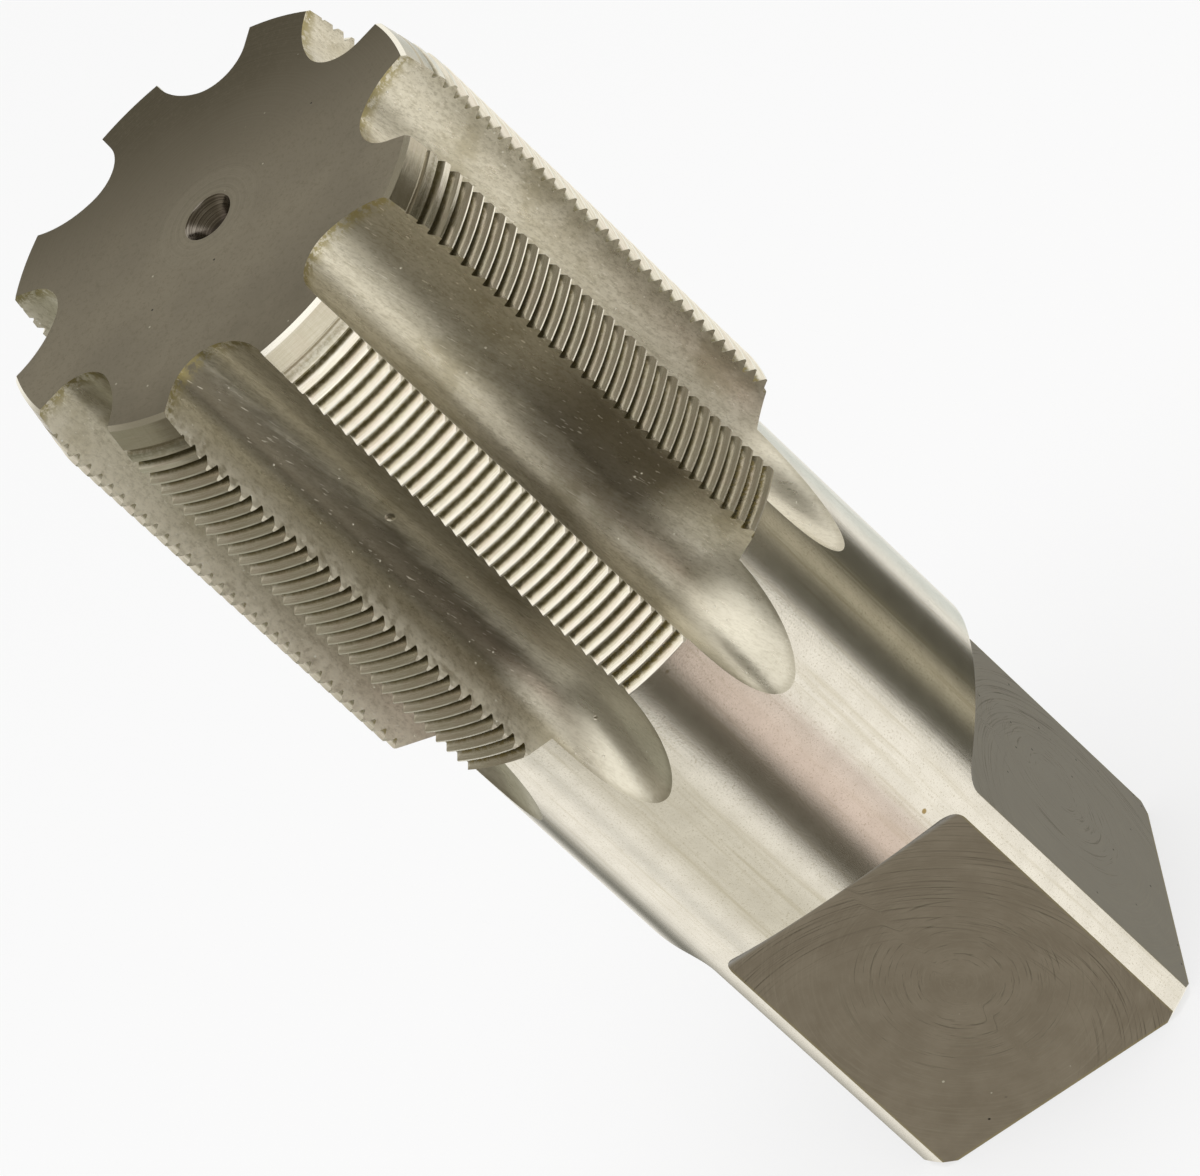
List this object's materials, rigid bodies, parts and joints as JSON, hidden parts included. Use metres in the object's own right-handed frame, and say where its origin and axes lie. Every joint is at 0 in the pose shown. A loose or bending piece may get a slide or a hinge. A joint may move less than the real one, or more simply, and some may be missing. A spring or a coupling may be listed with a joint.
{
  "type": "straight-fluted thread tap",
  "caption": "Solid steel hand tap: fluted threaded body with a tapered lead, wheel run-outs, plain round shank and a milled square drive end with centre holes.",
  "frame": {"origin": "centre of the flat face of the square drive end, on the tap's axis", "axes": "+Z along the axis from the square drive end towards the cutting end; -Y square to one flat of the square drive"},
  "size_m": [0.0486, 0.0486, 0.1265],
  "materials": {
    "ground_steel": "ground high-speed steel: polished shank, brushed flutes, bright thread crests, matte milled flats, light workshop wear"
  },
  "bodies": {
    "root": {"tap": "ground_steel"}
  },
  "joints": []
}
